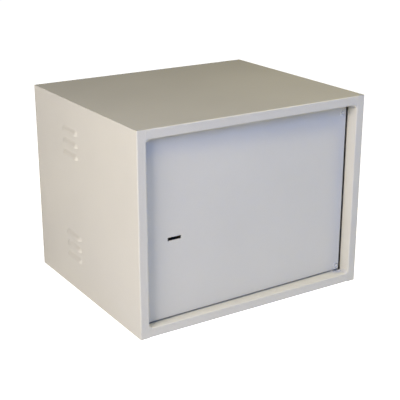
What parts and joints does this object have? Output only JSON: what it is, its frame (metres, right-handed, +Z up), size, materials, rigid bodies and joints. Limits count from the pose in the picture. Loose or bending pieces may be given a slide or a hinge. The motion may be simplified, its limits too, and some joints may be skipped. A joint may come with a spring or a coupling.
{
  "type": "network rack cabinet",
  "caption": "Wall-mount steel cabinet for 19 inch network gear, with a recessed key-locked pivot door in a narrow welded frame, louvred sides and inside rack rails.",
  "frame": {"origin": "middle of the footprint, on the surface that the cabinet stands on", "axes": "+X to the right seen from the front, +Y from the door to the back, +Z up"},
  "size_m": [0.54, 0.45, 0.41],
  "materials": {
    "case_paint": "satin light grey powder coat, fine orange peel",
    "door_paint": "satin light grey powder coat, fine orange peel",
    "zinc_plate": "blue-white zinc plate, satin",
    "bright_steel": "turned bare steel",
    "spring_steel": "blued spring steel",
    "brass": "machined brass, slightly dull",
    "lock_black": "black phosphate, matt",
    "black_rubber": "matt moulded rubber"
  },
  "bodies": {
    "cabinet": {"left_side_panel": "case_paint", "right_side_panel": "case_paint", "top_panel": "case_paint", "bottom_panel": "case_paint", "back_panel": "case_paint", "cable_entry_plate": "case_paint", "cable_grommet_left": "black_rubber", "cable_grommet_right": "black_rubber", "cable_plate_studs": "zinc_plate", "cable_plate_nuts": "zinc_plate", "frame_corner_welds": "case_paint", "hinge_pin_lower": "bright_steel", "hinge_pin_upper": "bright_steel", "hinge_washer": "zinc_plate", "door_stop_lower": "case_paint", "door_stop_upper": "case_paint", "door_stop_bumpers": "black_rubber", "rack_rail_left": "zinc_plate", "rack_rail_right": "zinc_plate", "depth_rail_left_lower": "zinc_plate", "depth_rail_left_upper": "zinc_plate", "depth_rail_right_lower": "zinc_plate", "depth_rail_right_upper": "zinc_plate", "rail_bolts": "zinc_plate", "rail_washers": "zinc_plate", "rail_square_nuts": "zinc_plate", "cage_nut_blocks": "zinc_plate", "cage_nut_cages": "spring_steel", "cabinet_earth_stud": "zinc_plate", "cabinet_earth_nuts": "brass"},
    "door": {"door_panel": "door_paint", "door_stiffener": "door_paint", "hinge_bush_lower": "door_paint", "hinge_bush_upper": "door_paint", "hinge_plug_welds": "door_paint", "lock_mounting_plate": "zinc_plate", "lock_case": "lock_black", "lock_cover": "zinc_plate", "lock_screws": "lock_black", "lock_lever_pivot": "bright_steel", "lock_lever_springs": "spring_steel", "door_earth_stud": "zinc_plate", "door_earth_nuts": "brass"},
    "bolt": {"lock_bolt": "bright_steel"},
    "drum": {"lock_drum": "lock_black"},
    "levers": {"lock_levers": "brass"}
  },
  "joints": [
    {"name": "door_swing", "type": "hinge", "parent": "cabinet", "child": "door", "pos_m": [0.229, -0.193, 0.205], "axis": [0, 0, 1], "range_deg": [-1, 103]},
    {"name": "key_turn", "type": "hinge", "parent": "door", "child": "drum", "pos_m": [-0.17879, -0.19712, 0.1844], "axis": [-0.0175, 0.9998, 0], "range_deg": [0, 180]},
    {"name": "bolt_throw", "type": "slide", "parent": "door", "child": "bolt", "axis": [-0.9998, -0.0175, 0], "range_m": [0, 0.01]},
    {"name": "lever_lift", "type": "hinge", "parent": "door", "child": "levers", "pos_m": [-0.14985, -0.19361, 0.1704], "axis": [-0.0175, 0.9998, 0], "range_deg": [0, 2], "stiffness_Nm_per_rad": 0.5, "springref_deg": -11.46, "deforming": ["lock_lever_springs"]}
  ],
  "couplings": [
    {"joint": "key_turn", "follows": "bolt_throw", "rad_per_m": 314.15}
  ]
}
